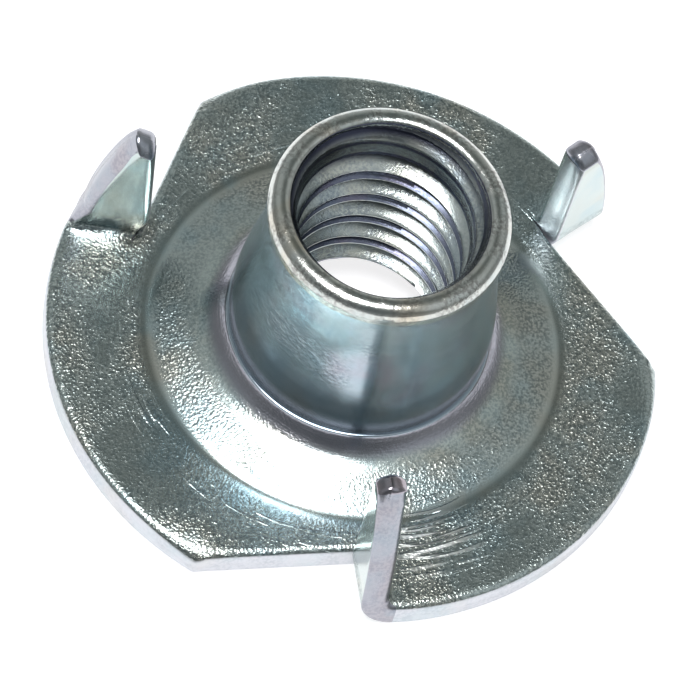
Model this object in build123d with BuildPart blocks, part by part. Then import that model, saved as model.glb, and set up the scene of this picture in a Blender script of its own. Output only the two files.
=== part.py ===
import os
from math import sqrt

from build123d import *

# Driving dimensions in millimetres

# Flange: a disc of sheet steel, slit along three chords
flange_diameter = 19.05
sheet_thickness = 0.95
prong_count = 3
first_chord_angle = -90
edge_roll_width = 0.3
edge_roll_depth = 0.16

# Prongs: the segments that the slits free, bent up across the sheet
prong_width = 2.105
prong_height = 5.85
bend_line_distance = 0.1
bend_radius = 0.15
prong_tip_width = 0.62
prong_tip_radius = 0.27
prong_edge_radius = 18.0
prong_roll = 0.15

# Barrel: plain top with a rolled rim, flare below it, then a straight foot on a small ledge
overall_height = 8.7
barrel_diameter = 7.5
rim_roll = 0.42
rim_flat_width = 0.08
flare_width = 0.28
flare_length = 4.4
foot_length = 1.15
ledge_width = 0.07
ledge_rise = 0.07

# Dished seat that the drawing of the barrel leaves in the flange, and the recess under it
neck_blend_width = 0.75
neck_blend_rise = 0.547
dish_width = 1.5
dish_rise = 0.483
dish_blend_radius = 1.6
recess_inset = 0.25

# Tapped hole, at the diameter between the crests of the thread
thread_minor_diameter = 5.1
thread_lead_in = 0.35

# Reach of cuts past the material
overrun = 1.0

# Sizes that follow from the driving dimensions
flange_radius = flange_diameter / 2
chord_distance = flange_radius - prong_width
barrel_radius = barrel_diameter / 2
foot_radius = barrel_radius + flare_width
neck_radius = foot_radius + ledge_width
seat_radius = neck_radius + neck_blend_width
dish_radius = seat_radius + dish_width
recess_radius = dish_radius - recess_inset
seat_height = sheet_thickness + dish_rise
neck_height = seat_height + neck_blend_rise
ledge_height = neck_height + ledge_rise
foot_top_height = ledge_height + foot_length
flare_top_height = foot_top_height + flare_length
thread_minor_radius = thread_minor_diameter / 2
lead_in_radius = thread_minor_radius + thread_lead_in
lead_in_height = (recess_radius - lead_in_radius) * dish_rise / dish_width
thread_foot_height = lead_in_height + thread_lead_in
countersink_radius = barrel_radius - rim_roll - rim_flat_width
countersink_depth = countersink_radius - thread_minor_radius
thread_top_height = overall_height - countersink_depth
bend_height = sheet_thickness + bend_radius
prong_inner_face = bend_line_distance - bend_radius
prong_outer_face = prong_inner_face - sheet_thickness
rim_at_bend = sqrt(flange_radius**2 - bend_line_distance**2)
prong_tip_reach = chord_distance + prong_tip_width

# One prong, with X out along the chord's normal and Y along the chord
with BuildPart() as prong:
    # The bent sheet, seen along the bend
    with BuildSketch(Plane.YZ.offset(chord_distance)):
        with BuildLine():
            bend_centre = (bend_line_distance, bend_height)
            outer_bend = CenterArc(bend_centre, bend_height, 270, -90)
            outer_face = Line(outer_bend @ 1, (prong_outer_face, prong_height))
            tip_face = Line(outer_face @ 1, (prong_inner_face, prong_height))
            inner_face = Line(tip_face @ 1, (prong_inner_face, bend_height))
            inner_bend = CenterArc(bend_centre, bend_radius, 180, 90)
            Line(inner_bend @ 1, outer_bend @ 0)
        make_face()
    extrude(amount=rim_at_bend - chord_distance)
    # Its outline, seen along the chord: straight slit edge, bowed rim edge, blunt tip
    with BuildSketch(Plane.XZ) as outline:
        with BuildLine():
            slit_foot = Line((rim_at_bend, 0), (chord_distance, 0))
            slit_edge = Line(slit_foot @ 1, (chord_distance, prong_height))
            tip_edge = Line(slit_edge @ 1, (prong_tip_reach, prong_height))
            bowed_edge = RadiusArc(tip_edge @ 1, (rim_at_bend, sheet_thickness), prong_edge_radius)
            Line(bowed_edge @ 1, slit_foot @ 0)
        make_face()
        fillet(outline.vertices().group_by(Axis.Y)[-1], prong_tip_radius)
    extrude(amount=flange_radius, both=True, mode=Mode.INTERSECT)
    # Shearing rolls the edges on the side that faces into the bend
    inner_side = prong.faces().filter_by(Axis.Y).sort_by(Axis.Y)[-2]
    fillet(inner_side.edges(), prong_roll)

# What shearing rolls off the top edge along one slit, in the same frame
with BuildPart() as slit_roll:
    with BuildSketch(Plane.XZ.offset(-bend_line_distance)):
        with BuildLine():
            slit_arc = TangentArc(
                (chord_distance - edge_roll_width, sheet_thickness),
                (chord_distance, sheet_thickness - edge_roll_depth),
                tangent=(1, 0),
            )
            Polyline(
                slit_arc @ 1,
                (chord_distance + overrun, sheet_thickness - edge_roll_depth),
                (chord_distance + overrun, seat_height + overrun),
                (chord_distance - edge_roll_width, seat_height + overrun),
                slit_arc @ 0,
            )
        make_face()
    extrude(amount=flange_radius + bend_line_distance)

# The whole nut, with its axis on Z and the flange's underside at zero
with BuildPart() as tee_nut:
    # Half section of the flange, the dished seat and the barrel, turned about the axis
    with BuildSketch(Plane.XZ):
        with BuildLine():
            seat = FilletPolyline(
                (seat_radius, seat_height),
                (dish_radius, sheet_thickness),
                (flange_radius - edge_roll_width, sheet_thickness),
                radius=dish_blend_radius,
            )
            rim_edge = TangentArc(
                seat @ 1,
                (flange_radius, sheet_thickness - edge_roll_depth),
                tangent=seat % 1,
            )
            funnel = Polyline(
                rim_edge @ 1,
                (flange_radius, 0),
                (recess_radius, 0),
                (lead_in_radius, lead_in_height),
                (thread_minor_radius, thread_foot_height),
                (thread_minor_radius, thread_top_height),
                (countersink_radius, overall_height),
                (countersink_radius + rim_flat_width, overall_height),
            )
            roll = TangentArc(funnel @ 1, (barrel_radius, overall_height - rim_roll), tangent=funnel % 1)
            barrel = Line(roll @ 1, (barrel_radius, flare_top_height))
            flare = Spline(
                barrel @ 1,
                (foot_radius, foot_top_height),
                tangents=(barrel % 1, barrel % 1),
            )
            foot = Line(flare @ 1, (foot_radius, ledge_height))
            ledge = Line(foot @ 1, (neck_radius, neck_height))
            TangentArc(seat @ 0, ledge @ 1, tangent=-(seat % 0))
        make_face()
    revolve(axis=Axis.Z)
    # Each slit frees the segment of the disc that becomes a prong
    with BuildSketch():
        with PolarLocations(0, prong_count, start_angle=first_chord_angle):
            with Locations((chord_distance, bend_line_distance)):
                Rectangle(
                    prong_width + overrun,
                    flange_radius + bend_line_distance,
                    align=(Align.MIN, Align.MAX),
                )
    extrude(amount=seat_height + overrun, mode=Mode.SUBTRACT)
    with PolarLocations(0, prong_count, start_angle=first_chord_angle):
        add(slit_roll.part, mode=Mode.SUBTRACT)
        add(prong.part)

tee_nut.part.label = "tee_nut"
os.makedirs("parts", exist_ok=True)
export_step(tee_nut.part, "parts/tee_nut.step")
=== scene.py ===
from math import acos, asin, atan2, cos, pi, radians, sin, sqrt

import bmesh
import bpy
import numpy as np
from mathutils import Matrix, Vector
from mathutils.geometry import delaunay_2d_cdt


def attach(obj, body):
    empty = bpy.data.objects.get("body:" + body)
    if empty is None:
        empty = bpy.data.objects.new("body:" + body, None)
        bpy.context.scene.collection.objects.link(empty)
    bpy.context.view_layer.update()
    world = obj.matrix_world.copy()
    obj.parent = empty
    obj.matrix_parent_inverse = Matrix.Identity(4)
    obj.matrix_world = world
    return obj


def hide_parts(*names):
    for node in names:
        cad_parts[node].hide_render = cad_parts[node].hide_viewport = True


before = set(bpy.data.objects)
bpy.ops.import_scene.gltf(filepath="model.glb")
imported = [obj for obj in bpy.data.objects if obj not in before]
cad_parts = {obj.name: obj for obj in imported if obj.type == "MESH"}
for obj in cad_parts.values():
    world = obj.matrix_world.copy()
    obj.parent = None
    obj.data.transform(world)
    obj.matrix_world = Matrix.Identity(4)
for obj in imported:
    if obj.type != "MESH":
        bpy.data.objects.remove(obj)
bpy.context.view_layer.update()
print("frame loaded:", sorted(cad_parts))

mm = 0.001

# Flange blank, in millimetres: one sector per prong, n out along the chord's normal, t along the chord
flange = {
    "radius": 9.52,
    "sheet": 0.95,
    "chord": 7.42,
    "slitWidth": 0.03,
    "sectorAngles": (-90.0, 30.0, 150.0),
    "cornerRadius": 0.16,
    "cornerEase": 0.9,
    "rollWidth": 0.28,
    "rollDepth": 0.19,
    "cornerRollWidth": 0.52,
    "cornerRollDepth": 0.34,
    "cornerRollReach": 1.9,
    "chordRollPace": 1.6,
    "breakWidth": 0.09,
    "breakDepth": 0.09,
    "slitEase": 1.0,
    "slitRoll": 0.03,
    "farFromSlit": 9.0,
    "easePasses": 6,
    "fractureInset": 0.025,
    "fractureRows": ((0.52, 0.0), (0.45, 0.6), (0.15, 1.0)),
    "edgeFromRow": 5,
    "sag": 0.15,
    "sagAlong": 2.3,
    "sagAlongPower": 1.3,
    "sagAcross": 0.9,
    "sagAcrossPower": 1.6,
    "sagBack": 0.02,
    "step": 0.12,
    "gridStep": 0.3,
    "gridRow": 0.866,
    "topClear": (0.1, 0.24),
    "underClear": (0.14, 0.1),
    "pointClear": 0.03,
}

# Prongs: where each one folds, how far it is folded, and the tapered outline they share
prong = {
    "bendLine": (-0.04, 0.33, -0.1),
    "bendSkew": (0.0, 0.0, 0.33),
    "bendAngle": (90.3, 88.55, 93.0),
    "footShift": (0.0, 0.0, -0.28),
    "sway": (0.0, 0.0, 0.09),
    "curl": (0.08, 0.0, 0.0),
    "lift": (0.02, 0.1, 0.16),
    "liftReach": 0.9,
    "liftFrom": 0.1,
    "skewPivot": 0.4,
    "besideReach": 0.9,
    "settleReach": 1.5,
    "innerRadius": 0.15,
    "neutralShare": 0.4,
    "length": (5.55, 5.33, 5.75),
    "tabReach": 7.0,
    "rimStart": 0.17,
    "rimStartReach": 0.8,
    "dome": 0.26,
    "domeReach": 0.55,
    "rimDrop": 1.474,
    "rimReach": 5.877,
    "rimPower": 1.647,
    "tipRadius": 0.25,
    "tipLength": 0.5,
    "slitSideRoll": (0.22, 0.28),
    "rimSideRoll": (0.62, 0.42),
    "rimRollShare": 0.55,
    "rollEase": 1.1,
    "tipRoll": (0.2, 0.5),
    "tipBreak": (0.18, 0.4),
    "edgeFromRow": 3,
    "bendEnd": 1.5,
    "bendStep": 0.06,
    "legStep": 0.2,
    "columns": 7,
}

# Barrel, dished seat and the funnel under them, as radius and height
barrel = {
    "columns": 240,
    "dishRadius": 6.35,
    "dishBlend": 1.6,
    "seat": (4.85, 1.433),
    "neck": (4.1, 1.98),
    "ledge": (4.03, 2.05),
    "ledgeEase": 0.02,
    "foot": (4.07, 2.95),
    "waist": (3.7, 6.6),
    "topPower": 6,
    "radius": 3.75,
    "rimRoll": 0.42,
    "height": 8.7,
    "lipInside": ((3.27, 8.7), (3.2, 8.69), (3.14, 8.665), (3.09, 8.625)),
    "lipRing": (3.06, 8.575),
    "threadTop": (3.045, 8.51),
    "mouthSlope": 0.8,
    "leadIn": (2.9, 1.029),
    "recessRadius": 6.1,
    "recessBlend": 1.6,
    "lean": (-0.07, 0.03),
    "leanFrom": 1.5,
}

# Right-hand thread: half of its profile, as distance from the groove's middle and radius
thread = {
    "pitch": 1.27,
    "phase": 0.8,
    "profile": (
        (0.0, 3.17),
        (0.05, 3.163),
        (0.085, 3.14),
        (0.12, 3.09),
        (0.2, 2.95),
        (0.29, 2.79),
        (0.36, 2.66),
        (0.395, 2.58),
        (0.418, 2.553),
        (0.445, 2.555),
        (0.475, 2.61),
        (0.52, 2.7),
        (0.635, 2.75),
    ),
    "wornCrest": ((6.2, 2.553), (7.2, 2.66), (8.0, 2.84), (8.33, 2.9)),
    "runOutSlope": 0.6,
    "runInSlope": 2.0,
    "seamFrom": 0.455,
    "fineSeam": (0.36, 0.475),
    "fineFrom": 6.97,
    "mouthFrom": 8.2,
    "mouthRows": 14,
}

# Joining of the mesh: points this close, in metres, become one; folds over this angle stay sharp
joining = {"mergeDistance": 2e-8, "sharpAngle": 40.0, "fillTolerance": 1e-6, "decimals": 7}

# Finishes, in the order of the looks below
sheetFinish = 0
barrelFinish = 1
edgeFinish = 2
threadFinish = 3
lipFinish = 4
seamAndShadowLineFinish = 5
paintedShadeTipFinish = 6
paintedShadeProngEdgeFinish = 7
neckFinish = 8

# Sides of the blank's edge that are told apart
plainSide = 0
tipSide = 1
slitSide = 2


def turned(k, n, t):
    # from a sector's own n and t to the flat blank's x and y
    angle = radians(flange["sectorAngles"][k])
    return n * cos(angle) - t * sin(angle), n * sin(angle) + t * cos(angle)


def inSector(k, x, y):
    # from the flat blank's x and y to a sector's own n and t
    angle = radians(flange["sectorAngles"][k])
    return x * cos(angle) + y * sin(angle), y * cos(angle) - x * sin(angle)


def eased(share):
    share = min(max(share, 0.0), 1.0)
    return share * share * (3 - 2 * share)


def quarter(count):
    # angles of a quarter turn
    return np.linspace(0, 1, count) * pi / 2


def rimEdgeOfProng(s):
    # how far the tab's outer edge has come in at the distance s past the bend line
    s = max(s, 0.0)
    share = (s + min(s / prong["rimStartReach"], 1.0) * prong["rimStart"]) / prong["rimReach"]
    return share ** prong["rimPower"] * prong["rimDrop"]


def tabStations(k):
    near = np.arange(0.0, prong["bendEnd"], prong["bendStep"])
    far = np.arange(prong["bendEnd"], prong["length"][k] - prong["tipLength"], prong["legStep"])
    return np.concatenate([near, far])


def roundedCorner(before, corner, after, radius, steps):
    p0, p1, p2 = (np.array(p, float) for p in (before, corner, after))
    a = (p0 - p1) / np.linalg.norm(p0 - p1)
    b = (p2 - p1) / np.linalg.norm(p2 - p1)
    half = acos(float(np.clip(a @ b, -1, 1))) / 2
    middle = p1 + (a + b) / np.linalg.norm(a + b) * radius / sin(half)
    start = p1 + a * radius / np.tan(half)
    end = p1 + b * radius / np.tan(half)
    angle0 = atan2(*(start - middle)[::-1])
    turn = atan2(*(end - middle)[::-1]) - angle0
    turn = (turn + pi) % (2 * pi) - pi
    angles = angle0 + turn * np.linspace(0, 1, steps)
    return [(middle[0] + radius * cos(x), middle[1] + radius * sin(x)) for x in angles]


def sectorOutline(k):
    # one third of the blank's edge, counter-clockwise: corner, chord, slit end, tab, rim
    radius, chord, slit = flange["radius"], flange["chord"], flange["slitWidth"]
    line, step, far = prong["bendLine"][k], flange["step"], flange["farFromSlit"]
    plain = (flange["rollWidth"], flange["rollDepth"])
    under = (flange["breakWidth"], flange["breakDepth"])
    slitRoll = (flange["slitRoll"], flange["slitRoll"])
    rows = []

    def put(n, t, skew, tab, roll, under, side=plainSide):
        x, y = turned(k, n, t)
        rows.append((x, y, skew, tab, *roll, *under, side))

    def rollAt(fromCorner, fromSlit):
        # the sheet curls down more towards each corner, and hardly at the end of a slit
        near = max(0.0, 1 - fromCorner / flange["cornerRollReach"]) ** 2
        width = plain[0] + (flange["cornerRollWidth"] - plain[0]) * near
        depth = plain[1] + (flange["cornerRollDepth"] - plain[1]) * near
        share = eased(fromSlit / flange["slitEase"])
        low = flange["slitRoll"]
        return low + (width - low) * share, low + (depth - low) * share

    corner = flange["cornerRadius"]
    midN = chord - corner
    midT = -sqrt((radius - corner) ** 2 - midN**2)
    cornerAngle = atan2(midT, midN)
    mitre = np.tan(-cornerAngle / 2)
    for angle in np.linspace(cornerAngle, 0, 5):
        share = 2 * (angle - cornerAngle) / -cornerAngle - 1
        n, t = midN + corner * cos(angle), midT + corner * sin(angle)
        put(n, t, mitre * share, -1, rollAt(0.0, far), under)
    for t in np.linspace(midT, line, int((line - midT) / step))[1:-1]:
        fromCorner = t - midT
        skew = mitre * max(0.0, 1 - fromCorner / flange["cornerEase"])
        put(chord, t, skew, -1, rollAt(fromCorner * flange["chordRollPace"], line - t), under)
    for angle in np.linspace(-pi, -2 * pi, 7):
        n = chord + slit / 2 + slit / 2 * cos(angle)
        tab = k if n > chord + slit / 2 else -1
        put(n, line + slit / 2 * sin(angle), 0, tab, slitRoll, under)

    rimN = sqrt(radius**2 - line**2)
    inner = chord + slit
    end, tipRadius = prong["length"][k], prong["tipRadius"]
    stations = tabStations(k)
    outer = rimN - rimEdgeOfProng(end)
    back = end - prong["tipLength"]
    tip = roundedCorner((inner, end - 1), (inner, end), (outer, end), tipRadius, 9)
    tip += roundedCorner((inner, end), (outer, end), (rimN - rimEdgeOfProng(back), back), tipRadius, 9)

    def legRoll(s, start, full):
        mix = eased(s / prong["rollEase"])
        width, depth = (a + (b - a) * mix for a, b in zip(start, full))
        return min(width, prong["rimRollShare"] * (rimN - rimEdgeOfProng(s) - inner)), depth

    for s in stations[1:]:
        put(inner, line - s, 0, k, legRoll(s, slitRoll, prong["slitSideRoll"]), under, slitSide)
    for n, s in tip:
        put(n, line - s, 0, k, prong["tipRoll"], prong["tipBreak"], tipSide)
    for s in stations[:0:-1]:
        put(rimN - rimEdgeOfProng(s), line - s, 0, k, legRoll(s, plain, prong["rimSideRoll"]), under)
    start = asin(line / radius)
    stop = radians(120.0) + cornerAngle
    for angle in np.linspace(start, stop, int((stop - start) * radius / step))[:-1]:
        left = (stop - angle) * radius
        skew = -mitre * max(0.0, 1 - left / flange["cornerEase"])
        put(radius * cos(angle), radius * sin(angle), skew, -1, rollAt(left, far), under)
    return rows


def liftOf(k, n, t):
    # the sheet starts to rise a little way before each bend, most at the rim
    rise = np.clip((prong["bendLine"][k] + prong["liftReach"] - t) / prong["liftReach"], 0, 1)
    across = np.clip(n - flange["chord"] + prong["liftFrom"], 0, 1)
    return prong["lift"][k] * rise**2 * across**2 * (3 - 2 * across)


def pastSlit(n):
    return n > flange["chord"] + flange["slitWidth"] / 2


def foldUp(flat, tabs):
    # bends the tabs of the flat blank about their own bend lines
    out = flat.copy()
    sheet, inner = flange["sheet"], prong["innerRadius"]
    neutral = inner + prong["neutralShare"] * sheet
    middle = inner + sheet / 2
    flatOnes = tabs < 0
    for k in range(3):
        n, t = inSector(k, flat[:, 0], flat[:, 1])
        bendLine, skew, length = prong["bendLine"][k], prong["bendSkew"][k], prong["length"][k]
        lift = liftOf(k, n, t)
        out[flatOnes, 2] += lift[flatOnes]
        # a skewed bend also takes in some of the rim beside the tab
        beside = pastSlit(n) & (np.abs(t - bendLine) < prong["besideReach"])
        pick = (tabs == k) | beside
        if not pick.any():
            continue
        n, t, h = n[pick], t[pick], flat[pick, 2]
        line = bendLine + skew * (n - flange["chord"] - prong["skewPivot"])
        s = line - t
        tip = np.clip((s - length) / prong["domeReach"] + 1, 0, 1)
        s = s - prong["dome"] * tip**2 * (2 * h / sheet - 1) ** 2
        full = radians(prong["bendAngle"][k])
        theta = np.clip(s / neutral, 0, full)
        rest = np.maximum(s - neutral * full, 0)
        rad = inner + sheet - h
        middleT = line - np.minimum(s, 0) - middle * np.sin(theta) - rest * np.cos(full)
        newT = middleT + (middle - rad) * np.sin(theta)
        newZ = inner + sheet - rad * np.cos(theta) + rest * np.sin(full) + lift[pick]
        # a prong may stand a little askew along the bend
        settled = np.clip(s / prong["settleReach"], 0, 1) ** 2
        n = n + settled * (prong["footShift"][k] + prong["sway"][k] * (newZ - inner - sheet))
        n = n - settled * skew * (newT - middleT)
        newT = newT - prong["curl"][k] * np.clip(s / length, 0, 1) ** 3
        out[pick, 0], out[pick, 1] = turned(k, n, newT)
        out[pick, 2] = newZ
    return out


def sagOf(xy):
    # how far the sheet is dragged down along the rim on the way to each corner
    drop = np.zeros(len(xy))
    radius = flange["radius"]
    corner = acos(flange["chord"] / radius)
    r = np.hypot(xy[:, 0], xy[:, 1])
    across = np.clip(1 - (radius - r) / flange["sagAcross"], 0, 1) ** flange["sagAcrossPower"]
    for angle in flange["sectorAngles"]:
        turn = radians(angle) - corner - np.arctan2(xy[:, 1], xy[:, 0])
        turn = (turn + pi) % (2 * pi) - pi
        ahead = np.clip(1 - turn * radius / flange["sagAlong"], 0, 1)
        ahead = np.where(turn >= -flange["sagBack"], ahead, 0) ** flange["sagAlongPower"]
        drop = np.maximum(drop, flange["sag"] * across * ahead)
    return drop


def inside(points, loop):
    # even-odd test of many points against one closed loop
    hit = np.zeros(len(points), bool)
    for (ax, ay), (bx, by) in zip(loop, np.roll(loop, -1, 0)):
        cross = (ay > points[:, 1]) != (by > points[:, 1])
        if cross.any():
            at = (bx - ax) * (points[:, 1] - ay) / (by - ay + 1e-12) + ax
            hit ^= cross & (points[:, 0] < at)
    return hit


def distanceTo(points, marks):
    # taken in lots, to spare memory
    best = np.full(len(points), np.inf)
    lot = 64
    for start in range(0, len(marks), lot):
        d = points[:, None, :] - marks[None, start:start + lot, :]
        best = np.minimum(best, np.sqrt((d**2).sum(2)).min(1))
    return best


def gridInside(loop, holeRadius, clear):
    # an offset grid of points over the flat ring of the flange, clear of its edges
    step = flange["gridStep"]
    reach = flange["radius"]
    points = []
    for j, y in enumerate(np.arange(-reach, reach, step * flange["gridRow"])):
        for x in np.arange(-reach, reach, step):
            points.append((x + (j % 2) * step / 2, y))
    points = np.array(points)
    keep = inside(points, loop) & (np.hypot(points[:, 0], points[:, 1]) > holeRadius + clear)
    points = points[keep]
    return points[distanceTo(points, loop) > clear]


def tabOf(points):
    # which tab of the flat blank each point lies on, or -1
    tabs = np.full(len(points), -1)
    for k in range(3):
        n, t = inSector(k, points[:, 0], points[:, 1])
        line = prong["bendLine"][k]
        tabs[pastSlit(n) & (t < line) & (t > line - prong["tabReach"])] = k
    return tabs


def tabRows(k, inset):
    # rows of points across a tab, at the same stations as its edges
    line = prong["bendLine"][k]
    low = flange["chord"] + flange["slitWidth"] + inset
    rimN = sqrt(flange["radius"] ** 2 - line**2)
    points = []
    for s in tabStations(k)[1:]:
        high = rimN - rimEdgeOfProng(s) - inset
        for share in np.linspace(0, 1, prong["columns"] + 2)[1:-1]:
            points.append(turned(k, low + (high - low) * share, line - s))
    return np.array(points)


def fillFlat(loop, circle, extra):
    # triangles between the edge loop and a circle, through the extra points
    coords = np.concatenate([loop, circle, extra])
    nLoop, nCircle = len(loop), len(circle)
    edges = [(i, (i + 1) % nLoop) for i in range(nLoop)]
    edges += [(nLoop + i, nLoop + (i + 1) % nCircle) for i in range(nCircle)]
    vectors = [Vector((float(x), float(y))) for x, y in coords]
    newCoords, _, faces, origin, _, _ = delaunay_2d_cdt(vectors, edges, [], 0, joining["fillTolerance"])
    if len(newCoords) != len(coords):
        print("flat fill changed its points:", len(coords), "to", len(newCoords))
    back = [o[0] if o else -1 for o in origin]
    tris = np.array([[back[i] for i in face] for face in faces])
    tris = tris[(tris >= 0).all(1)]
    centres = coords[tris].mean(1)
    return tris[inside(centres, loop) & ~inside(centres, circle)]


class NutMesh:
    # collects points in millimetres and faces with a finish each
    def __init__(self):
        self.points = []
        self.faces = []
        self.finish = []
        self.count = 0

    def add(self, points):
        start = self.count
        self.points.append(np.asarray(points, float))
        self.count += len(points)
        return start

    def face(self, corners, finish):
        self.faces.append(tuple(int(c) for c in corners))
        self.finish.append(finish)

    def band(self, first, second, length, finish):
        # quads between two closed rows of points, with one finish or one for each quad
        finishes = np.broadcast_to(finish, length)
        for i in range(length):
            j = (i + 1) % length
            self.face((first + i, first + j, second + j, second + i), int(finishes[i]))

    def rings(self, profile, finishes):
        # a profile of radius and height turned about the barrel's axis
        starts = [self.add(leaning(ring(r, z))) for r, z in profile]
        for i in range(len(starts) - 1):
            self.band(starts[i], starts[i + 1], barrel["columns"], finishes[i + 1])
        return starts


def ring(radius, height):
    # one radius, or one for each column
    angles = np.linspace(0, 2 * pi, barrel["columns"], endpoint=False)
    return np.stack([radius * np.cos(angles), radius * np.sin(angles), np.full(len(angles), height)], 1)


def leaning(points):
    # the drawn barrel stands a hair off the flange's centre
    low = barrel["leanFrom"]
    share = np.clip((points[:, 2] - low) / (barrel["height"] - low), 0, 1)
    out = points.copy()
    out[:, :2] += np.outer(share, barrel["lean"])
    return out


def arcBetween(start, tangent, end, steps):
    # points of the arc that leaves start along tangent and reaches end
    p, q = np.array(start, float), np.array(end, float)
    d = np.array(tangent, float)
    d /= np.linalg.norm(d)
    left = np.array([-d[1], d[0]])
    chord = q - p
    radius = chord @ chord / (2 * (chord @ left))
    centre = p + left * radius
    a0 = atan2(*(p - centre)[::-1])
    a1 = atan2(*(q - centre)[::-1])
    turn = (a1 - a0 + pi) % (2 * pi) - pi
    return [tuple(centre + abs(radius) * np.array([cos(a0 + turn * s), sin(a0 + turn * s)]))
            for s in np.linspace(0, 1, steps)]


def outerProfile():
    # from the flat of the flange up the dish, the neck and the barrel to the mouth; each point has its finish
    sheet, dishR, blend = flange["sheet"], barrel["dishRadius"], barrel["dishBlend"]
    seatR, seatZ = barrel["seat"]
    neckR, neckZ = barrel["neck"]
    ledgeR, ledgeZ = barrel["ledge"]
    footR, footZ = barrel["foot"]
    waistR, waistZ = barrel["waist"]
    topR, roll, height = barrel["radius"], barrel["rimRoll"], barrel["height"]
    slope = (seatZ - sheet) / (dishR - seatR)
    tilt = atan2(slope, 1)
    reach = blend * np.tan(tilt / 2)
    angles = tilt * np.linspace(0, 1, 7)
    dish = [(dishR + reach - blend * sin(a), sheet + blend * (1 - cos(a))) for a in angles]
    lowR, lowZ = dish[-1]
    dish += [(lowR + (seatR - lowR) * s, lowZ + (seatZ - lowZ) * s) for s in np.linspace(0, 1, 9)[1:-1]]
    neck = arcBetween(barrel["seat"], (-1, slope), barrel["neck"], 12)
    # a small shelf where the barrel stands on the neck, then the foot, the flare and the straight top
    shelf = ledgeZ - barrel["ledgeEase"] - neckZ
    wall = [(ledgeR + (neckR - ledgeR) * cos(a), neckZ + shelf * sin(a)) for a in quarter(5)[1:]]
    for s in np.linspace(0, 1, 7)[:-1]:
        wall.append((ledgeR + (footR - ledgeR) * s, ledgeZ + (footZ - ledgeZ) * s))
    for s in np.linspace(0, 1, 24):
        wall.append((footR + (waistR - footR) * eased(s), footZ + (waistZ - footZ) * s))
    for s in np.linspace(0, 1, 7)[1:-1]:
        r = waistR + (topR - waistR) * s ** barrel["topPower"]
        wall.append((r, waistZ + (height - roll - waistZ) * s))
    lip = [(topR - roll + roll * cos(a), height - roll + roll * sin(a)) for a in quarter(11)]
    lip += barrel["lipInside"]
    # the narrow band into the lip ring takes the dark seam finish as a painted shadow line under the lip's
    # inner edge
    runs = ((dish, sheetFinish), (neck, neckFinish), (wall, barrelFinish), (lip, lipFinish),
            ([barrel["lipRing"]], seamAndShadowLineFinish), ([barrel["threadTop"]], lipFinish))
    return [(r, z, finish) for run, finish in runs for r, z in run]


def funnelProfile():
    # under the flange, from the thread out to the flat underside
    leadR, leadZ = barrel["leadIn"]
    outR, blend = barrel["recessRadius"], barrel["recessBlend"]
    slope = leadZ / (outR - leadR)
    tilt = atan2(slope, 1)
    reach = blend * np.tan(tilt / 2)
    span = outR - reach * cos(tilt) - leadR
    rows = [(leadR + span * s, leadZ - slope * span * s) for s in np.linspace(0, 1, 9)]
    for s in np.linspace(0, 1, 6)[1:]:
        a = tilt * (1 - s)
        rows.append((outR + reach - blend * sin(a), blend * (1 - cos(a))))
    return rows


def fromGroove(u):
    # distance from the middle of the groove at the place u, counted in turns
    return np.abs(u - np.floor(u) - 0.5) * thread["pitch"]


def threadRadius(u, z):
    # radius of the tapped wall at the place u and the height z
    r = np.interp(fromGroove(u), *zip(*thread["profile"]))
    mouthR, mouthZ = barrel["threadTop"]
    cone = mouthR - (mouthZ - z) * barrel["mouthSlope"]
    leadR, leadZ = barrel["leadIn"]
    lead = leadR - (z - leadZ)
    r = np.minimum(r, mouthR + (mouthZ - z) * thread["runInSlope"])
    # the drawn bore opens towards the mouth, so the top crests are broad and low
    r = np.maximum(r, np.interp(z, *zip(*thread["wornCrest"])))
    r = np.maximum(r, np.maximum(cone, lead))
    return np.minimum(r, np.maximum(leadR + (z - leadZ) * thread["runOutSlope"], cone))


def threadFinishes(u, turn):
    # a dark seam along the crests: one broad line, and two fine ones where the crests are worn
    q = fromGroove(u)
    height = (np.round(u) + thread["phase"] + turn) * thread["pitch"]
    fine = (q > thread["fineSeam"][0]) & (q < thread["fineSeam"][1])
    seam = np.where(height > thread["fineFrom"], fine, q > thread["seamFrom"])
    return np.where(seam, seamAndShadowLineFinish, threadFinish)


def addThread(mesh):
    columns, pitch, phase = barrel["columns"], thread["pitch"], thread["phase"]
    distances = [q / pitch for q, _ in thread["profile"]]
    stations = sorted([0.5 - d for d in distances] + [0.5 + d for d in distances[1:-1]])
    low, high = barrel["leadIn"][1], thread["mouthFrom"]
    first = int(np.floor(low / pitch)) - 2
    last = int(np.ceil(high / pitch)) + 2
    us = np.array([turn + s for turn in range(first, last) for s in stations])
    middles = (us[:-1] + us[1:]) / 2
    rows = len(us)
    grid = []
    for j in range(columns):
        angle = 2 * pi * j / columns
        z = np.clip((us + phase + j / columns) * pitch, low, high)
        r = threadRadius(z / pitch - phase - j / columns, z)
        grid.append(np.stack([r * cos(angle), r * sin(angle), z], 1))
    grid = np.array(grid)
    start = mesh.add(leaning(grid.reshape(-1, 3)))
    heights = np.round(grid[:, :, 2], joining["decimals"])
    # columns of quads; the last one meets the first a turn higher
    for j in range(columns):
        after = (j + 1) % columns
        shift = len(stations) if after == 0 else 0
        finishes = threadFinishes(middles, (j + 0.5) / columns)
        for i in range(rows - 1 - shift):
            k = i + shift
            corners = (*heights[j, i:i + 2], *heights[after, k:k + 2])
            if min(corners) < max(corners):
                a, b = start + j * rows + i, start + after * rows + k
                mesh.face((a, a + 1, b + 1, b), int(finishes[i]))
    # level rows carry the wall from the last turn up to the lip
    turns = np.arange(columns) / columns
    across = turns + 0.5 / columns
    levels = np.linspace(high, barrel["threadTop"][1], thread["mouthRows"])
    starts = [mesh.add(leaning(ring(threadRadius(z / pitch - phase - turns, z), z))) for z in levels]
    for i in range(len(levels) - 1):
        middle = (levels[i] + levels[i + 1]) / 2
        mesh.band(starts[i], starts[i + 1], columns, threadFinishes(middle / pitch - phase - across, across))


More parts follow.
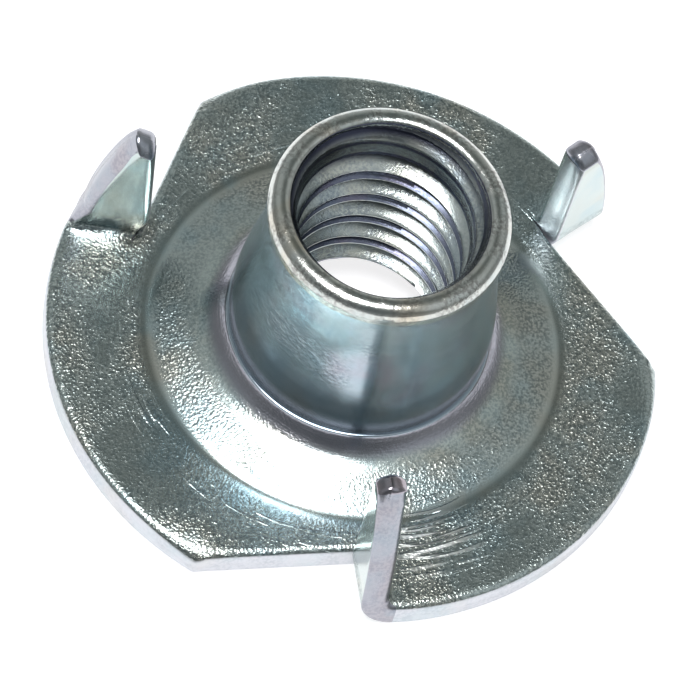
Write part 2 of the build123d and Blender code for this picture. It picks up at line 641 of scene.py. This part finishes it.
def buildNut():
    mesh = NutMesh()
    outline = np.array([row for k in range(3) for row in sectorOutline(k)])
    xy, skew, tabs = outline[:, :2], outline[:, 2], outline[:, 3].astype(int)
    rollW, rollD, breakW, breakD, side = outline[:, 4:].T
    atTip = (side == tipSide) & (np.roll(side, -1) == tipSide)
    nLoop = len(xy)
    ahead = np.roll(xy, -1, 0) - xy
    ahead /= np.linalg.norm(ahead, axis=1)[:, None]
    along = ahead + np.roll(ahead, 1, 0)
    along /= np.linalg.norm(along, axis=1)[:, None]
    # the skew spreads the rolled strip evenly round the corners
    inward = np.stack([-along[:, 1], along[:, 0]], 1) + along * skew[:, None]
    # neighbouring stretches of roll are eased into each other
    for _ in range(flange["easePasses"]):
        rollW, rollD, breakW, breakD = (
            (np.roll(v, 1) + v + np.roll(v, -1)) / 3 for v in (rollW, rollD, breakW, breakD))
    sheet, fracture = flange["sheet"], flange["fractureInset"]
    rows = [(rollW * (1 - sin(a)), sheet - rollD * (1 - cos(a))) for a in quarter(8)]
    for share, inset in flange["fractureRows"]:
        rows.append((np.full(nLoop, fracture * inset), breakD + share * (sheet - rollD - breakD)))
    rows += [(fracture + breakW * (1 - cos(a)), breakD * (1 - sin(a))) for a in quarter(5)]
    starts = []
    for inset, height in rows:
        flat = np.column_stack([xy + inward * inset[:, None], height])
        flat[:, 2] -= sagOf(flat[:, :2]) * np.clip(flat[:, 2] / sheet, 0, 1) * (tabs < 0)
        starts.append(mesh.add(foldUp(flat, tabs)))
    for i in range(len(rows) - 1):
        finish = edgeFinish if i >= flange["edgeFromRow"] else sheetFinish
        # painted shade: the prongs' edges take a darker copy of the sheared-edge finish
        onProng = (tabs >= 0) & (side != slitSide) & (i >= prong["edgeFromRow"])
        finishes = np.where(onProng, paintedShadeProngEdgeFinish, finish)
        # painted dark reflection: the bottom prong's tip takes a dark finish, the other tips the prong edge
        finishes = np.where(atTip, np.where(tabs == 0, paintedShadeTipFinish, paintedShadeProngEdgeFinish), finishes)
        mesh.band(starts[i], starts[i + 1], nLoop, finishes)
    print("edge strips:", nLoop, "points round the blank,", len(rows), "rows")

    profile = outerProfile()
    rings = mesh.rings([row[:2] for row in profile], [row[2] for row in profile])
    under = funnelProfile()
    underRings = mesh.rings(under, [sheetFinish] * len(under))
    addThread(mesh)
    print("revolved rings:", len(profile) + len(under))

    # flat top and underside between the rings and the edge strips
    fills = ((0, rings[0], profile[0][:2], sheet, flange["topClear"]),
             (len(rows) - 1, underRings[-1], under[-1], 0.0, flange["underClear"]))
    for row, ringStart, circleRow, height, (clear, inset) in fills:
        loop = xy + inward * rows[row][0][:, None]
        circle = ring(*circleRow)[:, :2]
        points = gridInside(loop, circleRow[0], clear)
        extra = [points[tabOf(points) < 0]]
        for k in range(3):
            across = tabRows(k, inset)
            across = across[inside(across, loop)]
            extra.append(across[distanceTo(across, loop) > flange["pointClear"]])
        extra = np.concatenate(extra)
        tris = fillFlat(loop, circle, extra)
        flat = np.column_stack([extra, np.full(len(extra), height)])
        flat[:, 2] -= sagOf(extra) * (height / sheet) * (tabOf(extra) < 0)
        extraStart = mesh.add(foldUp(flat, tabOf(extra)))
        sources = ((starts[row], nLoop), (ringStart, len(circle)), (extraStart, len(extra)))
        corners = np.concatenate([first + np.arange(count) for first, count in sources])
        for tri in corners[tris]:
            mesh.face(tri, sheetFinish)
        print("flat fill at", height, ":", len(tris), "triangles")
    return mesh


def meshObject(mesh, name):
    points = np.concatenate(mesh.points) * mm
    data = bpy.data.meshes.new(name)
    data.from_pydata(points.tolist(), [], mesh.faces)
    data.polygons.foreach_set("material_index", np.array(mesh.finish, np.int32))
    bm = bmesh.new()
    bm.from_mesh(data)
    bmesh.ops.remove_doubles(bm, verts=bm.verts, dist=joining["mergeDistance"])
    bmesh.ops.delete(bm, geom=[v for v in bm.verts if not v.link_faces], context="VERTS")
    bmesh.ops.recalc_face_normals(bm, faces=bm.faces)
    openEdges = sum(1 for e in bm.edges if len(e.link_faces) != 2)
    bm.to_mesh(data)
    bm.free()
    for poly in data.polygons:
        poly.use_smooth = True
    data.set_sharp_from_angle(angle=radians(joining["sharpAngle"]))
    piece = bpy.data.objects.new(name, data)
    bpy.context.scene.collection.objects.link(piece)
    triangles = sum(len(p.vertices) - 2 for p in data.polygons)
    print(name, "has", triangles, "triangles and", openEdges, "open edges")
    return piece


# Shader helpers

def feed(tree, socket, value):
    # an input takes a link from an output, or a plain value
    if isinstance(value, bpy.types.NodeSocket):
        tree.links.new(value, socket)
    else:
        socket.default_value = value


def addNode(tree, kind, **values):
    node = tree.nodes.new(kind)
    for key, value in values.items():
        if hasattr(node, key) and key not in node.inputs:
            setattr(node, key, value)
        else:
            feed(tree, node.inputs[key], value)
    return node


def vectorNode(tree, operation, *values):
    node = addNode(tree, "ShaderNodeVectorMath", operation=operation)
    for socket, value in zip(node.inputs, values):
        feed(tree, socket, value)
    return node.outputs


def calc(tree, operation, *values):
    node = addNode(tree, "ShaderNodeMath", operation=operation)
    for socket, value in zip(node.inputs, values):
        feed(tree, socket, value)
    return node.outputs[0]


def apart(tree, first, second):
    return calc(tree, "ABSOLUTE", calc(tree, "SUBTRACT", first, second))


def ramp(tree, value, low, high, start=0.0, end=1.0, kind="SMOOTHSTEP"):
    # goes from start to end while the value goes from low to high
    node = addNode(tree, "ShaderNodeMapRange", interpolation_type=kind)
    labels = ("Value", "From Min", "From Max", "To Min", "To Max")
    for label, given in zip(labels, (value, low, high, start, end)):
        feed(tree, node.inputs[label], given)
    return node.outputs["Result"]


def mixed(tree, factor, first, second, blend="MIX"):
    node = addNode(tree, "ShaderNodeMix", data_type="RGBA", blend_type=blend)
    feed(tree, node.inputs["Factor"], factor)
    feed(tree, node.inputs[6], first)
    feed(tree, node.inputs[7], second)
    return node.outputs[2]


def noiseOf(tree, vector, scale, detail, roughness=0.5):
    node = addNode(
        tree, "ShaderNodeTexNoise", Vector=vector, Scale=scale, Detail=detail, Roughness=roughness)
    return node.outputs["Fac"]


def newGroup(name, inputs, outputs, kind="NodeSocketFloat"):
    # inputs have their default values, four numbers for a colour; the outputs are of one kind
    group = bpy.data.node_groups.new(name, "ShaderNodeTree")
    for label, value in inputs.items():
        inputKind = "NodeSocketColor" if isinstance(value, tuple) else "NodeSocketFloat"
        socket = group.interface.new_socket(label, in_out="INPUT", socket_type=inputKind)
        socket.default_value = value
    for label in outputs:
        group.interface.new_socket(label, in_out="OUTPUT", socket_type=kind)
    return group, group.nodes.new("NodeGroupInput").outputs, group.nodes.new("NodeGroupOutput").inputs


def aroundAxis(group):
    # a place on the nut, its distance from the axis, its height and its bearing
    place = group.nodes.new("ShaderNodeTexCoord").outputs["Object"]
    split = addNode(group, "ShaderNodeSeparateXYZ", Vector=place).outputs
    flat = vectorNode(group, "MULTIPLY", place, (1, 1, 0))["Vector"]
    distance = vectorNode(group, "LENGTH", flat)["Value"]
    bearing = calc(group, "ARCTAN2", split["Y"], split["X"])
    return place, distance, split["Z"], bearing


def zincTintGroup():
    # slow changes of tint in the chromate film over the zinc
    group, given, out = newGroup(
        "zincTint",
        {"Scale": 500.0, "Base": (0.6, 0.66, 0.66, 1), "Warm": (0.62, 0.6, 0.53, 1),
         "Cool": (0.5, 0.62, 0.66, 1), "Amount": 0.5},
        ["Color"], "NodeSocketColor")
    place = group.nodes.new("ShaderNodeTexCoord").outputs["Object"]
    shifted = addNode(group, "ShaderNodeMapping", Vector=place, Location=(0.31, 0.17, 0.05)).outputs["Vector"]
    color = given["Base"]
    for tint, vector, detail, roughness, low in (
            ("Warm", place, 2.0, 0.5, 0.48), ("Cool", shifted, 3.0, 0.6, 0.46)):
        noise = noiseOf(group, vector, given["Scale"], detail, roughness)
        amount = calc(group, "MULTIPLY", ramp(group, noise, low, 0.66), given["Amount"])
        color = mixed(group, amount, color, given[tint])
    feed(group, out["Color"], color)
    return group


def crystalGrainGroup():
    # fine crystals of the plating, stronger in patches, worn smooth in one ring and above one height
    group, given, out = newGroup(
        "crystalGrain",
        {"Scale": 9000.0, "Patch Scale": 420.0, "Least": 0.15, "Ring Radius": 0.0064, "Ring Width": 0.0004,
         "Top": 1.0},
        ["Height", "Mask", "Speck"])
    place, distance, height, _ = aroundAxis(group)
    fine = noiseOf(group, place, given["Scale"], 2.0, 0.6)
    cells = addNode(
        group, "ShaderNodeTexVoronoi", feature="SMOOTH_F1", Smoothness=0.35, Vector=place,
        Scale=given["Scale"])
    patch = noiseOf(group, place, given["Patch Scale"], 2.5, 0.55)
    offRing = ramp(group, apart(group, distance, given["Ring Radius"]), 0.0, given["Ring Width"])
    belowTop = ramp(group, calc(group, "SUBTRACT", given["Top"], height), 0.0, 0.0003)
    inPatch = ramp(group, patch, 0.38, 0.62, given["Least"])
    mask = calc(group, "MULTIPLY", inPatch, calc(group, "MULTIPLY", offRing, belowTop))
    crystals = calc(group, "MULTIPLY_ADD", cells.outputs["Distance"], 0.6, fine)
    feed(group, out["Height"], calc(group, "MULTIPLY", crystals, mask))
    feed(group, out["Mask"], mask)
    feed(group, out["Speck"], calc(group, "MULTIPLY", ramp(group, fine, 0.4, 0.62), mask))
    return group


def drawLinesGroup():
    # fine lines that run round the axis, left by the punch and the die
    group, given, out = newGroup("drawLines", {"Across": 14000.0, "Along": 1.4}, ["Height"])
    _, distance, height, bearing = aroundAxis(group)
    vector = addNode(
        group, "ShaderNodeCombineXYZ",
        X=calc(group, "MULTIPLY", distance, given["Across"]),
        Y=calc(group, "MULTIPLY", bearing, given["Along"]),
        Z=calc(group, "MULTIPLY", height, given["Across"])).outputs[0]
    feed(group, out["Height"], noiseOf(group, vector, 1.0, 2.0))
    return group


def depthShadeGroup():
    # 0 at one distance from the axis, 1 at another; the mask of painted shade
    group, given, out = newGroup("depthShade", {"Near": 0.0026, "Far": 0.0031}, ["Mask"])
    distance = aroundAxis(group)[1]
    feed(group, out["Mask"], ramp(group, distance, given["Near"], given["Far"]))
    return group


def toolMarksGroup():
    # a few arcs scored round the axis, about one radius and, with a small spread, about one bearing
    group, given, out = newGroup(
        "toolMarks",
        {"Middle": 0.0072, "Reach": 0.0005, "Across": 6000.0, "Along": 3.0, "Toward": 0.0, "Spread": 100.0,
         "Least": 0.62},
        ["Height"])
    _, distance, _, bearing = aroundAxis(group)
    vector = addNode(
        group, "ShaderNodeCombineXYZ",
        X=calc(group, "MULTIPLY", distance, given["Across"]),
        Y=calc(group, "MULTIPLY", bearing, given["Along"])).outputs[0]
    full = calc(group, "ADD", given["Least"], 0.1)
    cut = ramp(group, noiseOf(group, vector, 1.0, 0.0), given["Least"], full)
    near = ramp(group, apart(group, distance, given["Middle"]), 0.0, given["Reach"], 1.0, 0.0)
    window = ramp(group, apart(group, bearing, given["Toward"]), 0.0, given["Spread"], 1.0, 0.0)
    feed(group, out["Height"], calc(group, "MULTIPLY", calc(group, "MULTIPLY", cut, near), window))
    return group


groups = {
    "depth": depthShadeGroup(),
    "marks": toolMarksGroup(),
    "tint": zincTintGroup(),
    "grain": crystalGrainGroup(),
    "lines": drawLinesGroup(),
}


def useGroup(tree, key, values):
    node = tree.nodes.new("ShaderNodeGroup")
    node.node_tree = groups[key]
    for label, value in values.items():
        node.inputs[label].default_value = value
    return node.outputs


def metalMaterial(name, look):
    material = bpy.data.materials.new(name)
    material.use_nodes = True
    tree = material.node_tree
    shader = tree.nodes["Principled BSDF"]
    shader.inputs["Metallic"].default_value = 1.0
    shader.inputs["Roughness"].default_value = look["roughness"][0]
    tint = useGroup(tree, "tint", look["tint"])
    grain = useGroup(tree, "grain", look["grain"])
    color = mixed(tree, grain["Speck"], tint["Color"], look["speckColor"], "MULTIPLY")
    rough = ramp(tree, grain["Mask"], 0.0, 1.0, *look["roughness"], kind="LINEAR")
    bumps = [(grain["Height"], look["grainDepth"])]
    # painted shade: towards one distance from the axis the colour turns to the look's rootColor
    if "root" in look:
        color = mixed(tree, useGroup(tree, "depth", look["root"])["Mask"], color, look["rootColor"])
    if "lines" in look:
        bumps.append((useGroup(tree, "lines", look["lines"])["Height"], look["lineDepth"]))
    if "marks" in look:
        bumps.append((useGroup(tree, "marks", look["marks"])["Height"], look["marksDepth"]))
    if "score" in look:
        # scored metal is paler and rougher than the plating round it
        score = useGroup(tree, "marks", look["score"])["Height"]
        color = mixed(tree, score, color, look["scoreColor"])
        rough = calc(tree, "MULTIPLY_ADD", score, look["scoreRough"], rough)
        bumps.append((score, look["scoreDepth"]))
    feed(tree, shader.inputs["Base Color"], color)
    feed(tree, shader.inputs["Roughness"], rough)
    normal = None
    for height, depth in bumps:
        bump = addNode(tree, "ShaderNodeBump", Strength=1.0, Distance=depth, Height=height)
        if normal:
            feed(tree, bump.inputs["Normal"], normal)
        normal = bump.outputs["Normal"]
    feed(tree, shader.inputs["Normal"], normal)
    return material


# Looks of the zinc, one for each finish; most have their grain all over
evenGrain = {"Ring Radius": 0.0, "Ring Width": 0.0001, "Top": 0.1}
looks = {
    "platedSheet": {
        "tint": {"Scale": 420.0, "Amount": 0.7, "Base": (0.545, 0.61, 0.595, 1),
                 "Warm": (0.54, 0.53, 0.47, 1), "Cool": (0.45, 0.57, 0.6, 1)},
        "speckColor": (0.5, 0.54, 0.56, 1), "roughness": (0.2, 0.25),
        "grain": {"Scale": 11000.0, "Patch Scale": 420.0, "Least": 0.55, "Ring Radius": 0.0064,
                  "Ring Width": 0.0004, "Top": 0.00155},
        "grainDepth": 2.1e-5,
        # painted shade: the sheet darkens towards the neck and into the funnel near the bore
        "root": {"Near": 0.0048, "Far": 0.0043}, "rootColor": (0.32, 0.3, 0.31, 1),
        "lines": {"Across": 9000.0, "Along": 5.0}, "lineDepth": 2.0e-6,
        "marks": {"Middle": 0.0072, "Reach": 0.0007}, "marksDepth": 2.0e-5,
        "score": {"Middle": 0.0072, "Reach": 0.0016, "Across": 6500.0, "Along": 3.0, "Toward": -1.36,
                  "Spread": 0.24, "Least": 0.5},
        "scoreDepth": 1.4e-4, "scoreColor": (0.97, 0.98, 0.97, 1), "scoreRough": 0.2,
    },
    "drawnBarrel": {
        "tint": {"Scale": 380.0, "Amount": 0.7, "Base": (0.49, 0.58, 0.63, 1), "Warm": (0.46, 0.43, 0.5, 1),
                 "Cool": (0.4, 0.55, 0.62, 1)},
        "speckColor": (0.75, 0.78, 0.8, 1), "roughness": (0.19, 0.24),
        "grain": {"Scale": 7000.0, "Patch Scale": 500.0, "Least": 0.1, "Ring Radius": 0.0041,
                  "Ring Width": 0.0003, "Top": 0.1},
        "grainDepth": 6.0e-6,
        # painted shade: the flared foot of the barrel darkens to navy towards the neck
        "root": {"Near": 0.0039, "Far": 0.00404}, "rootColor": (0.42, 0.49, 0.56, 1),
        "lines": {"Across": 7000.0, "Along": 2.0}, "lineDepth": 1.0e-6,
    },
    "shearedEdge": {
        "tint": {"Scale": 500.0, "Amount": 0.5, "Base": (0.62, 0.63, 0.67, 1), "Warm": (0.62, 0.61, 0.6, 1),
                 "Cool": (0.54, 0.62, 0.65, 1)},
        "speckColor": (0.85, 0.87, 0.88, 1), "roughness": (0.3, 0.4),
        "grain": {"Scale": 9000.0, "Patch Scale": 700.0, "Least": 0.3, **evenGrain}, "grainDepth": 5.0e-6,
    },
    "tappedThread": {
        "tint": {"Scale": 600.0, "Amount": 0.6, "Base": (0.59, 0.64, 0.62, 1), "Warm": (0.62, 0.62, 0.54, 1),
                 "Cool": (0.48, 0.56, 0.6, 1)},
        "speckColor": (0.7, 0.72, 0.78, 1), "roughness": (0.2, 0.26),
        "grain": {"Scale": 11000.0, "Patch Scale": 700.0, "Least": 0.3, **evenGrain}, "grainDepth": 7.0e-6,
        # painted shade: the tapped wall darkens to near black down into the thread's roots
        "root": {"Near": 0.00275, "Far": 0.00312}, "rootColor": (0.05, 0.055, 0.085, 1),
        "lines": {"Across": 12000.0, "Along": 3.0}, "lineDepth": 2.0e-6,
    },
    "wornLip": {
        "tint": {"Scale": 500.0, "Amount": 0.8, "Base": (0.64, 0.66, 0.63, 1), "Warm": (0.62, 0.57, 0.47, 1),
                 "Cool": (0.54, 0.6, 0.6, 1)},
        "speckColor": (0.6, 0.58, 0.58, 1), "roughness": (0.17, 0.26),
        "grain": {"Scale": 8000.0, "Patch Scale": 1100.0, "Least": 0.1, **evenGrain}, "grainDepth": 9.0e-6,
        "lines": {"Across": 9000.0, "Along": 4.0}, "lineDepth": 3.0e-6,
    },
    # dark seam of the crests, also laid as a painted shadow line just inside the lip
    "threadSeamAndShadowLine": {
        "tint": {"Scale": 600.0, "Amount": 0.6, "Base": (0.2, 0.22, 0.29, 1), "Warm": (0.22, 0.2, 0.27, 1),
                 "Cool": (0.17, 0.21, 0.28, 1)},
        "speckColor": (0.7, 0.72, 0.78, 1), "roughness": (0.2, 0.26),
        "grain": {"Scale": 11000.0, "Patch Scale": 700.0, "Least": 0.3, **evenGrain}, "grainDepth": 4.0e-6,
    },
    # painted dark reflection on the bottom prong's rounded tip
    "prongTipPaintedShade": {
        "tint": {"Scale": 900.0, "Amount": 0.7, "Base": (0.4, 0.37, 0.41, 1), "Warm": (0.42, 0.35, 0.37, 1),
                 "Cool": (0.38, 0.39, 0.45, 1)},
        "speckColor": (0.9, 0.9, 0.9, 1), "roughness": (0.13, 0.16),
        "grain": {"Scale": 9000.0, "Patch Scale": 700.0, "Least": 0.1, **evenGrain}, "grainDepth": 1.0e-6,
    },
    # painted shade: a darker copy of the sheared edge, laid on the prongs' edges
    "prongEdgePaintedShade": {
        "tint": {"Scale": 700.0, "Amount": 0.7, "Base": (0.4, 0.405, 0.45, 1), "Warm": (0.41, 0.38, 0.41, 1),
                 "Cool": (0.36, 0.4, 0.45, 1)},
        "speckColor": (0.8, 0.82, 0.85, 1), "roughness": (0.22, 0.3),
        "grain": {"Scale": 9000.0, "Patch Scale": 700.0, "Least": 0.2, **evenGrain}, "grainDepth": 5.0e-6,
    },
    "drawnNeck": {
        "tint": {"Scale": 420.0, "Amount": 0.7, "Base": (0.57, 0.64, 0.62, 1), "Warm": (0.57, 0.55, 0.47, 1),
                 "Cool": (0.47, 0.59, 0.62, 1)},
        "speckColor": (0.62, 0.66, 0.68, 1), "roughness": (0.2, 0.25),
        "grain": {"Scale": 11000.0, "Patch Scale": 420.0, "Least": 0.3, **evenGrain}, "grainDepth": 8.0e-6,
        # painted shade: the neck darkens down into the crease at the barrel
        "root": {"Near": 0.00475, "Far": 0.00435}, "rootColor": (0.4, 0.4, 0.45, 1),
        "lines": {"Across": 12000.0, "Along": 3.0}, "lineDepth": 6.0e-6,
    },
}

nutMesh = buildNut()
teeNut = meshObject(nutMesh, "teeNut")
for name, look in looks.items():
    teeNut.data.materials.append(metalMaterial(name, look))
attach(teeNut, "root")
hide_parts("tee_nut")
print("nut dressed")

# White table: it glows for what sees it directly or in the metal, and still takes the nut's shadow
table = {"size": 3.0, "drop": 0.00001, "color": (0.62, 0.62, 0.635, 1), "roughness": 0.8, "glow": 0.75}


def makeTable():
    half = table["size"] / 2
    corners = [(-half, -half, 0), (half, -half, 0), (half, half, 0), (-half, half, 0)]
    data = bpy.data.meshes.new("table")
    data.from_pydata(corners, [], [(0, 1, 2, 3)])
    piece = bpy.data.objects.new("table", data)
    piece.location = (0, 0, -table["drop"])
    bpy.context.scene.collection.objects.link(piece)
    material = bpy.data.materials.new("whiteTable")
    material.use_nodes = True
    tree = material.node_tree
    shader = tree.nodes["Principled BSDF"]
    shader.inputs["Base Color"].default_value = table["color"]
    shader.inputs["Roughness"].default_value = table["roughness"]
    shader.inputs["Specular IOR Level"].default_value = 0.0
    shader.inputs["Emission Color"].default_value = (1, 1, 1, 1)
    path = tree.nodes.new("ShaderNodeLightPath").outputs
    seen = calc(tree, "MAXIMUM", path["Is Camera Ray"], path["Is Glossy Ray"])
    seen = calc(tree, "MAXIMUM", seen, path["Is Transmission Ray"])
    feed(tree, shader.inputs["Emission Strength"], calc(tree, "MULTIPLY", seen, table["glow"]))
    data.materials.append(material)


makeTable()
print("table laid")

# Camera as the photograph was taken: long lens, from above, slightly rolled; lengths in millimetres
view = {
    "elevation": 58.09,
    "azimuth": -23.67,
    "roll": 17.79,
    "distance": 461.1,
    "focalPixels": 15000.0,
    "aim": (0.03, 0.17),
    "imagePixels": 700.0,
    "sensor": 36.0,
    "clip": (0.01, 20.0),
}


def viewAxes():
    e, a, roll = radians(view["elevation"]), radians(view["azimuth"]), radians(view["roll"])
    right = Vector((cos(a), sin(a), 0))
    up = Vector((-sin(a) * sin(e), cos(a) * sin(e), cos(e)))
    back = Vector((sin(a) * cos(e), -cos(a) * cos(e), sin(e)))
    return right * cos(roll) + up * sin(roll), up * cos(roll) - right * sin(roll), back


def makeCamera():
    right, up, back = viewAxes()
    a = radians(view["azimuth"])
    aimX, aimY = view["aim"]
    aim = Vector((cos(a) * aimX - sin(a) * aimY, sin(a) * aimX + cos(a) * aimY, 0)) * mm
    data = bpy.data.cameras.new("photoCamera")
    data.sensor_width = view["sensor"]
    data.lens = view["focalPixels"] / view["imagePixels"] * view["sensor"]
    data.clip_start, data.clip_end = view["clip"]
    camera = bpy.data.objects.new("photoCamera", data)
    turn = Matrix((right, up, back)).transposed().to_4x4()
    camera.matrix_world = Matrix.Translation(aim + back * view["distance"] * mm) @ turn
    bpy.context.scene.collection.objects.link(camera)
    bpy.context.scene.camera = camera


makeCamera()
print("camera placed")

# Studio: a soft light overhead, leaning to the camera's side, in a dim room
# Each patch of the room has its bearing from the far side, its elevation, its full and its whole reach in
# degrees, and the light it adds
studio = {
    "softboxHeight": 0.5,
    "softboxSize": 0.285,
    "softboxLean": 0.16,
    "softboxLeft": 0.1,
    "softboxPower": 1.95,
    "roomColor": (0.2, 0.215, 0.21, 1),
    "horizonColor": (0.36, 0.37, 0.37, 1),
    "horizonRise": 0.55,
    "patches": (
        (180.0, 28.0, 15.0, 50.0, (-0.065, -0.065, -0.055)),
        (-43.0, 43.0, 8.0, 28.0, (0.17, 0.18, 0.18)),
        (43.0, 43.0, 8.0, 28.0, (0.2, 0.21, 0.21)),
        (0.0, 60.0, 8.0, 26.0, (-0.085, -0.085, -0.085)),
        (-106.0, 48.0, 8.0, 32.0, (0.12, 0.13, 0.14)),
        (102.0, 48.0, 8.0, 30.0, (0.36, 0.38, 0.4)),
        (0.0, 12.0, 8.0, 30.0, (0.2, 0.2, 0.19)),
    ),
}


def levelAxes():
    # the camera's right and the way it looks, both level
    a = radians(view["azimuth"])
    return Vector((cos(a), sin(a), 0)), Vector((-sin(a), cos(a), 0))


def makeLights():
    right, away = levelAxes()
    data = bpy.data.lights.new("softbox", "AREA")
    data.shape = "DISK"
    data.size = studio["softboxSize"]
    data.energy = studio["softboxPower"]
    lamp = bpy.data.objects.new("softbox", data)
    lean = -away * studio["softboxLean"] - right * studio["softboxLeft"]
    place = (lean + Vector((0, 0, 1))) * studio["softboxHeight"]
    lamp.location = place
    lamp.rotation_euler = place.to_track_quat("Z", "Y").to_euler()
    bpy.context.scene.collection.objects.link(lamp)


def roomDirection(bearing, elevation):
    # bearing 0 points away from the camera, positive to its right
    right, away = levelAxes()
    b, e = radians(bearing), radians(elevation)
    return (away * cos(b) + right * sin(b)) * cos(e) + Vector((0, 0, sin(e)))


def makeRoom():
    world = bpy.data.worlds.new("studioRoom")
    bpy.context.scene.world = world
    world.use_nodes = True
    tree = world.node_tree
    sky = tree.nodes["Background"]
    place = tree.nodes.new("ShaderNodeTexCoord").outputs["Generated"]
    rise = addNode(tree, "ShaderNodeSeparateXYZ", Vector=place).outputs["Z"]
    up = ramp(tree, rise, 0.0, studio["horizonRise"])
    light = mixed(tree, up, studio["horizonColor"], studio["roomColor"])
    for bearing, elevation, full, reach, added in studio["patches"]:
        near = vectorNode(tree, "DOT_PRODUCT", place, roomDirection(bearing, elevation))["Value"]
        spread = ramp(tree, near, cos(radians(reach)), cos(radians(full)))
        light = vectorNode(tree, "MULTIPLY_ADD", spread, added, light)["Vector"]
    feed(tree, sky.inputs["Color"], light)
    sky.inputs["Strength"].default_value = 1.0


makeLights()
makeRoom()
bpy.context.scene.view_settings.view_transform = "Standard"
print("studio lit")
